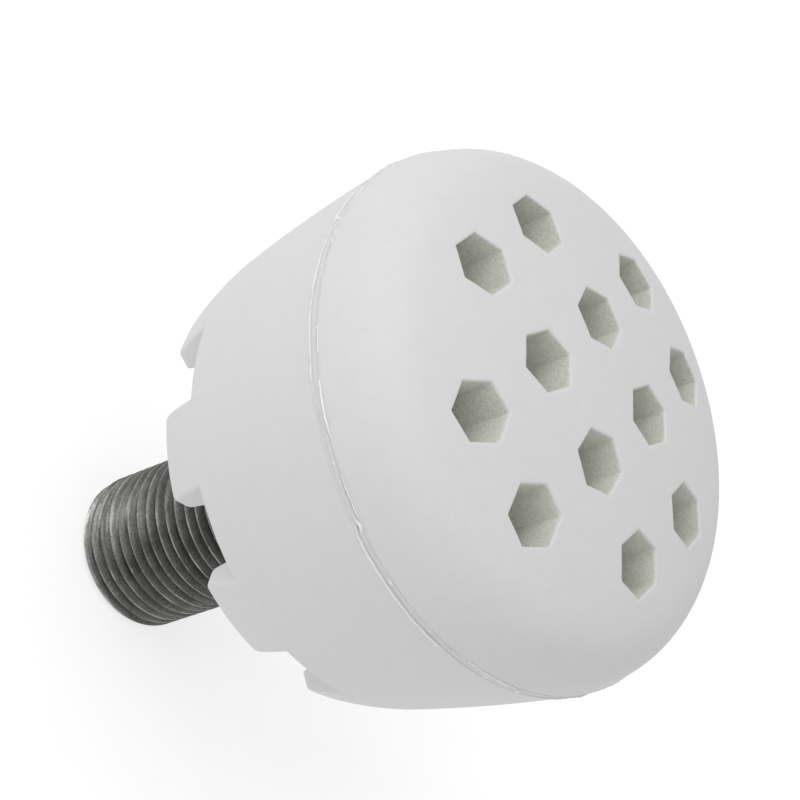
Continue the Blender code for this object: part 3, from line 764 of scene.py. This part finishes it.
class Cage:
    """A cage of quads whose corners are shared by column, radius and level."""

    def __init__(self):
        self.shape = bmesh.new()
        self.corners = {}
        self.count = NOTCH_COUNT * len(COLUMNS)

    def corner(self, column, radius, z):
        column %= self.count
        key = (column, round(radius / MM, 3), round(z / MM, 3))
        if key not in self.corners:
            angle = column_angle(column, radius, z)
            place = (radius * math.cos(angle), radius * math.sin(angle), z)
            self.corners[key] = self.shape.verts.new(place)
        return self.corners[key]

    def strip(self, column, path):
        """Faces between a column and the next along a path of (radius, z)."""
        for first, second in zip(path, path[1:]):
            self.shape.faces.new((
                self.corner(column, *first), self.corner(column + 1, *first),
                self.corner(column + 1, *second), self.corner(column, *second)))


def lug_section(z, part):
    """Radii across a lug's thickness at a level, from outside to inside."""
    outer, inner = outer_radius(z), SKIRT_INNER_RADIUS
    if z < SKIRT_END_Z + 0.1 * MM:
        outer -= 0.75 * MM
        inner += 0.2 * MM
    thick = outer - inner
    soft = min(0.45 * MM, 0.3 * thick)
    return [outer, outer - soft, (outer + inner) / 2, inner + soft, inner][part]


def housing_outside(top):
    """Outside of the barrel as (radius, z), from the seam down to the notches' floor."""
    path = [(SEAM_RADIUS - 0.3 * MM, top), (SEAM_RADIUS - 0.07 * MM, top - 0.02 * MM)]
    for z in (66.75, 66.0, 64.0, 61.0, 58.0, 55.0, 52.0, 49.5, 47.5, 46.0, 45.2, 44.5, 43.95):
        path.append((outer_radius(z * MM), z * MM))
    path.append((outer_radius(NOTCH_BASE_Z), NOTCH_BASE_Z))
    return path


def housing_inside(top):
    """Inside as (radius, z): skirt, web with its hole, wall and joint up to the seam."""
    base = NOTCH_BASE_Z
    inner = SKIRT_INNER_RADIUS
    path = [(inner, base), (inner, base + 0.25 * MM), (inner, WEB_REAR_Z - 0.35 * MM),
            (inner - 0.1 * MM, WEB_REAR_Z - 0.1 * MM), (inner - 0.35 * MM, WEB_REAR_Z)]
    path += [(radius * MM, WEB_REAR_Z) for radius in (24.0, 21.0, 17.5, 14.0, 11.3)]
    path += [(THREAD_HOLE, WEB_REAR_Z), (THREAD_HOLE, WEB_REAR_Z + 0.3 * MM),
             (THREAD_HOLE, WEB_FRONT_Z - 0.3 * MM), (THREAD_HOLE, WEB_FRONT_Z),
             (THREAD_HOLE + 0.3 * MM, WEB_FRONT_Z)]
    wall_foot = barrel_radius(WEB_FRONT_Z) - WALL
    path += [(15 * MM, WEB_FRONT_Z), (20 * MM, WEB_FRONT_Z), (25 * MM, WEB_FRONT_Z),
             (wall_foot - 0.5 * MM, WEB_FRONT_Z), (wall_foot, WEB_FRONT_Z + 0.5 * MM)]
    for z in (50.0, 54.0, 58.0, 62.0):
        path.append((barrel_radius(z * MM) - WALL, z * MM))
    groove = top - TONGUE_DEPTH
    land = TONGUE_RADIUS + GAP
    path += [(barrel_radius(groove) - WALL, groove - 0.2 * MM),
             (barrel_radius(groove) - WALL, groove), (land - 0.2 * MM, groove),
             (land, groove), (land, groove + 0.2 * MM), (land, top - 0.2 * MM), (land, top),
             (land + 0.2 * MM, top), (SEAM_RADIUS - 0.3 * MM, top)]
    return path


def close_lug_side(cage, column, levels):
    """Faces across a lug's thickness, on the side that looks into a notch."""
    for high, low in zip(levels, levels[1:]):
        for part in range(LUG_PARTS):
            cage.shape.faces.new((
                cage.corner(column, lug_section(high, part), high),
                cage.corner(column, lug_section(high, part + 1), high),
                cage.corner(column, lug_section(low, part + 1), low),
                cage.corner(column, lug_section(low, part), low)))


def make_rear_housing(body):
    cage = Cage()
    top = SEAM_Z - GAP / 2
    base = NOTCH_BASE_Z
    outside = housing_outside(top)
    inside = housing_inside(top)
    levels = [base, base - 0.3 * MM, 42.2 * MM, 40.6 * MM, 39.0 * MM, 37.9 * MM, 37.3 * MM,
              36.95 * MM, SKIRT_END_Z]
    floor = [(lug_section(base, part), base) for part in range(LUG_PARTS + 1)]
    lug_outside = [(lug_section(z, 0), z) for z in levels]
    lug_inside = [(lug_section(z, LUG_PARTS), z) for z in reversed(levels)]
    bottom = [(lug_section(SKIRT_END_Z, part), SKIRT_END_Z) for part in range(LUG_PARTS + 1)]
    for column in range(cage.count):
        cage.strip(column, outside)
        cage.strip(column, inside)
        place = column % len(COLUMNS)
        if LUG_FIRST <= place < LUG_LAST:
            cage.strip(column, lug_outside)
            cage.strip(column, bottom)
            cage.strip(column, lug_inside)
        else:
            cage.strip(column, floor)
        if place in (LUG_FIRST, LUG_LAST):
            close_lug_side(cage, column, levels)
    housing = add_piece("moulded_rear_housing", cage.shape, [body],
                        ["rear_housing"], sharp=180.0)
    smooth = housing.modifiers.new("smooth", "SUBSURF")
    smooth.levels = 2
    smooth.render_levels = 2


def flash_profile(angle, around):
    """Section of the flash at one angle, as (radius, z)."""
    def wave(frequency, offset):
        return noise.noise(around * frequency + Vector((offset, 0, 0)))

    turned_on = math.remainder(angle - FLASH_SWAP, math.tau)
    swap = math.tanh(turned_on / 0.03) if abs(turned_on) < 0.5 else 1.6 * wave(3.1, 3.0)
    fade = 0.9 + 1.2 * wave(7, 51)
    rear = max(0.0, (0.10 + 0.13 * swap) * fade + 0.10 * wave(26, 9) + 0.08 * wave(90, 5))
    front = max(0.0, (0.10 - 0.13 * swap) * fade + 0.10 * wave(29, 17) + 0.08 * wave(95, 25))
    rear_groove = max(0.05, 0.24 + 0.10 * swap + 0.4 * wave(11, 33)) * MM
    front_groove = max(0.05, 0.26 - 0.14 * swap + 0.4 * wave(13, 37)) * MM
    rear, front = rear * MM, front * MM
    bead = max(0.0, wave(48, 29) - 0.40) * 0.8 * MM
    jog = 0.30 * math.exp(-(turned_on / 0.02) ** 2)
    drift = (jog + 0.12 * wave(4, 41) + 0.05 * wave(36, 43)) * MM
    bead += 0.5 * jog * MM
    profile = [
        (-0.5 * MM, -0.86 * MM), (-0.075 * MM, -0.84 * MM), (-0.04 * MM, -0.72 * MM),
        (rear, -0.64 * MM), (rear, -0.56 * MM), (-0.03 * MM, -0.50 * MM),
        (-rear_groove, -0.41 * MM), (-0.03 * MM, -0.32 * MM),
        (bead - 0.01 * MM, -0.10 * MM), (bead - 0.02 * MM, 0.10 * MM),
        (-0.06 * MM, 0.32 * MM), (-front_groove - 0.05 * MM, 0.41 * MM),
        (-0.08 * MM, 0.50 * MM), (front - 0.07 * MM, 0.56 * MM),
        (front - 0.08 * MM, 0.64 * MM), (-0.12 * MM, 0.72 * MM), (-0.16 * MM, 0.84 * MM),
        (-0.5 * MM, 0.86 * MM)]
    return [(SEAM_RADIUS + out, SEAM_Z + z + drift) for out, z in profile]


def make_weld_flash(material):
    """Two thin broken ridges of squeezed-out plastic on either side of the seam."""
    shape = bmesh.new()
    sections = []
    for i in range(FLASH_SECTIONS):
        angle = math.tau * i / FLASH_SECTIONS
        around = Vector((math.cos(angle), math.sin(angle), 0.0))
        sections.append([shape.verts.new((radius * around.x, radius * around.y, z))
                         for radius, z in flash_profile(angle, around)])
    for first, second in zip(sections, sections[1:] + sections[:1]):
        for i in range(len(first)):
            j = (i + 1) % len(first)
            shape.faces.new((first[i], second[i], second[j], first[j]))
    add_piece("weld_flash", shape, [material], sharp=60.0)


# --------------------------------------------------------- steel and soft parts

def make_inlet_nipple(steel):
    """Pipe with a rounded V thread, chamfered ends and a bored hole."""
    shape = bmesh.new()
    low, high = NIPPLE_LOW.z, NIPPLE_HIGH.z
    depth = THREAD_CREST - THREAD_ROOT
    section = [(0.0, 1.0), (0.035, 1.0), (0.075, 0.94), (0.17, 0.72), (0.29, 0.42),
               (0.41, 0.13), (0.455, 0.03), (0.5, 0.0), (0.545, 0.03), (0.59, 0.13),
               (0.71, 0.42), (0.83, 0.72), (0.925, 0.94), (0.965, 1.0)]
    turns = int((high - low) / THREAD_PITCH) + 3
    steps = turns * THREAD_SIDES
    rows = []
    for i in range(steps + 1):
        angle = math.tau * i / THREAD_SIDES
        start = low + THREAD_PITCH * (i / THREAD_SIDES - 2.0)
        row = []
        for part, share in section:
            z = start + part * THREAD_PITCH
            limit = NIPPLE_END_RADIUS + NIPPLE_END_SLOPE * max(0.0, min(z - low, high - z))
            radius = min(THREAD_ROOT + depth * share, limit)
            row.append(shape.verts.new((radius * math.cos(angle), radius * math.sin(angle), z)))
        rows.append(row)
    width = len(section)
    for i in range(steps):
        for k in range(width - 1):
            shape.faces.new((rows[i][k], rows[i + 1][k], rows[i + 1][k + 1], rows[i][k + 1]))
        after = i + THREAD_SIDES
        if after < steps:
            shape.faces.new((rows[i][-1], rows[i + 1][-1], rows[after + 1][0], rows[after][0]))
    for z, side in ((low, -1), (high, 1)):
        whole = list(shape.verts) + list(shape.edges) + list(shape.faces)
        bmesh.ops.bisect_plane(shape, geom=whole, dist=1e-7, plane_co=(0, 0, z),
                               plane_no=(0, 0, side), clear_outer=True)
    bore = [circle_ring(shape, NIPPLE_BORE + NIPPLE_EDGE, low, 96),
            circle_ring(shape, NIPPLE_BORE, low + NIPPLE_EDGE, 96)]
    for i in range(1, 8):
        bore.append(circle_ring(shape, NIPPLE_BORE, low + (high - low) * i / 8, 96))
    bore += [circle_ring(shape, NIPPLE_BORE, high - NIPPLE_EDGE, 96),
             circle_ring(shape, NIPPLE_BORE + NIPPLE_EDGE, high, 96)]
    join_all(shape, bore)
    for z in (low, high):
        rim = [edge for edge in shape.edges if edge.is_boundary
               and all(abs(corner.co.z - z) < 1e-6 for corner in edge.verts)]
        bmesh.ops.triangle_fill(shape, use_beauty=True, use_dissolve=False, edges=rim)
    add_piece("threaded_inlet_nipple", shape, [steel], ["inlet_nipple"],
              sharp=50.0)


def make_nut(name, node, zinc):
    """Hexagon nut with the curved edges that a cone chamfer leaves on its flats."""
    low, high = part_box(node)
    bottom, top = low.z, high.z
    flat = (high.y - low.y) / 2
    blank = flat * NUT_FACE_SHARE
    slope = math.tan(math.radians(30))
    shape = bmesh.new()

    def ring(radius_at, z_at):
        made = []
        for i in range(NUT_SIDES):
            angle = math.tau * i / NUT_SIDES
            local = angle % math.radians(60) - math.radians(30)
            hexagon_radius = flat / math.cos(local)
            radius = radius_at(hexagon_radius)
            made.append(shape.verts.new((
                radius * math.cos(angle), radius * math.sin(angle), z_at(hexagon_radius))))
        return made

    bore = THREAD_HOLE
    lead = NUT_LEAD_IN
    rings = [
        ring(lambda r: bore, lambda r: bottom + lead),
        ring(lambda r: bore + lead, lambda r: bottom),
        ring(lambda r: blank, lambda r: bottom),
        ring(lambda r: r, lambda r: bottom + (r - blank) * slope),
        ring(lambda r: r, lambda r: top - (r - blank) * slope),
        ring(lambda r: blank, lambda r: top),
        ring(lambda r: bore + lead, lambda r: top), ring(lambda r: bore, lambda r: top - lead)]
    join_all(shape, rings, closed=True)
    nut = add_piece(name, shape, [zinc], [node], sharp=22.0)
    bevel = nut.modifiers.new("edges", "BEVEL")
    bevel.width = NUT_EDGE
    bevel.segments = 2
    bevel.limit_method = "ANGLE"
    bevel.angle_limit = math.radians(25)
    weigh_normals(nut)


def make_band(name, node, rounding, material):
    """Flat ring with rounded edges round the thread."""
    low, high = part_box(node)
    shape = lathe(rounded_band(THREAD_HOLE, high.x, low.z, high.z, rounding))
    weigh_normals(add_piece(name, shape, [material], [node], sharp=35.0))


def make_screen(zinc):
    """Woven wire: each wire passes over one and under the next."""
    shape = bmesh.new()
    reach = SCREEN_HIGH.x
    middle = (SCREEN_LOW.z + SCREEN_HIGH.z) / 2
    pitch, wire = SCREEN_PITCH, SCREEN_WIRE
    count = int(reach / pitch)
    for axis in (0, 1):
        for index in range(-count, count + 1):
            offset = index * pitch
            half = math.sqrt(max(0.0, (reach - 0.5 * MM) ** 2 - offset * offset))
            steps = max(4, int(2 * half / (pitch / 2)))
            previous = None
            for i in range(steps + 1):
                along = -half + 2 * half * i / steps
                phase = math.pi * (along / pitch + index + axis)
                z = middle + wire * 0.95 * math.cos(phase)
                ring = []
                for k in range(6):
                    angle = math.tau * k / 6
                    side, rise = wire * math.cos(angle), wire * math.sin(angle)
                    place = (along, offset + side) if axis == 0 else (offset + side, along)
                    ring.append(shape.verts.new((*place, z + rise)))
                if previous:
                    join_rings(shape, previous, ring)
                else:
                    shape.faces.new(ring)
                previous = ring
            shape.faces.new(previous)
    rim = rounded_band(reach - SCREEN_RIM, reach, SCREEN_LOW.z, SCREEN_HIGH.z, 0.15 * MM, 2)
    rings = [circle_ring(shape, radius, z, 96) for radius, z in rim]
    join_all(shape, rings, closed=True)
    add_piece("woven_retaining_screen", shape, [zinc],
              ["retaining_screen"], sharp=60.0)


# ----------------------------------------------------------- studio and camera

TARGET = Vector((1.34, 6.78, 52.13)) * MM
CAMERA_DISTANCE = 291.45 * MM
CAMERA_AZIMUTH = math.radians(168.85)
CAMERA_ELEVATION = math.radians(38.78)
CAMERA_ROLL = math.radians(69.32)
CAMERA_LENS = 107.19
SENSOR_WIDTH = 36.0
WORLD_STRENGTH = 0.71
KEY_DIRECTION = (0.19, 0.67, 0.72)        # camera right, up and back
KEY_DISTANCE = 0.9
KEY_SIZE = 0.9
KEY_WATTS = 4.7
FLOOR_HALF_WIDTH = 4.0


def camera_axes():
    """Right, up and back of the camera."""
    flat = math.cos(CAMERA_ELEVATION)
    back = Vector((flat * math.cos(CAMERA_AZIMUTH), flat * math.sin(CAMERA_AZIMUTH),
                   math.sin(CAMERA_ELEVATION)))
    level = Vector((0, 0, 1)).cross(back).normalized()
    right = level * math.cos(CAMERA_ROLL) + back.cross(level) * math.sin(CAMERA_ROLL)
    return right, back.cross(right), back


def make_camera():
    data = bpy.data.cameras.new("photo_camera")
    data.lens = CAMERA_LENS
    data.sensor_width = SENSOR_WIDTH
    data.clip_start = 0.01
    data.clip_end = 20.0
    camera = bpy.data.objects.new("photo_camera", data)
    bpy.context.scene.collection.objects.link(camera)
    right, up, back = camera_axes()
    turn = Matrix((right, up, back)).transposed().to_4x4()
    camera.matrix_world = Matrix.Translation(TARGET + back * CAMERA_DISTANCE) @ turn
    bpy.context.scene.camera = camera


def add_softbox(name, direction, distance, size, watts):
    """A square soft light placed by camera right, up and back, facing the muffler."""
    right, up, back = camera_axes()
    away = (right * direction[0] + up * direction[1] + back * direction[2]).normalized()
    data = bpy.data.lights.new(name, "AREA")
    data.shape = "SQUARE"
    data.size = size
    data.energy = watts
    light = bpy.data.objects.new(name, data)
    bpy.context.scene.collection.objects.link(light)
    light.location = TARGET + away * distance
    light.rotation_mode = "QUATERNION"
    light.rotation_quaternion = (-away).to_track_quat("-Z", "Y")
    light.visible_camera = False


def make_floor(material):
    shape = bmesh.new()
    bmesh.ops.create_grid(shape, x_segments=8, y_segments=8, size=FLOOR_HALF_WIDTH)
    mesh = bpy.data.meshes.new("studio_floor")
    shape.to_mesh(mesh)
    shape.free()
    mesh.materials.append(material)
    floor = bpy.data.objects.new("studio_floor", mesh)
    bpy.context.scene.collection.objects.link(floor)
    floor.location.z = NIPPLE_LOW.z


def make_studio():
    world = bpy.data.worlds.new("studio_world")
    world.use_nodes = True
    background = world.node_tree.nodes["Background"]
    background.inputs["Color"].default_value = (1.0, 1.0, 1.0, 1.0)
    background.inputs["Strength"].default_value = WORLD_STRENGTH
    bpy.context.scene.world = world
    bpy.context.scene.view_settings.view_transform = "Standard"
    add_softbox("key_light", KEY_DIRECTION, KEY_DISTANCE, KEY_SIZE, KEY_WATTS)
    make_floor(studio_floor())
    make_camera()


def paint_nodes(names, material):
    for name in names:
        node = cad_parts[name]
        for slot in node.material_slots:
            slot.material = material


def main():
    body, port_wall = moulded_plastic(), port_plastic()
    steel, zinc = threaded_steel(), zinc_steel()
    rubber, felt, insert = sealing_rubber(), absorbing_felt(), insert_plastic()
    make_front_cap(body, port_wall)
    make_rear_housing(body)
    make_weld_flash(flash_plastic())
    make_inlet_nipple(steel)
    make_nut("chamfered_rear_lock_nut", "rear_lock_nut", zinc)
    make_nut("chamfered_inner_lock_nut", "inner_lock_nut", zinc)
    make_band("turned_rear_washer", "rear_flat_washer", WASHER_ROUNDING, zinc)
    make_band("turned_inner_washer", "inner_flat_washer", WASHER_ROUNDING, zinc)
    make_band("rear_sealing_ring", "rear_seal_ring", SEAL_ROUNDING, rubber)
    make_screen(zinc)
    paint_nodes(["mesh_sleeve", "baffle_plate", "baffle_screw", "baffle_screw_washer"], zinc)
    paint_nodes(["diffuser_tube", "diffuser_end_cap"], insert)
    paint_nodes(["inner_felt_sleeve", "felt_liner", "rear_felt_pad", "front_felt_disc"], felt)
    make_studio()


main()
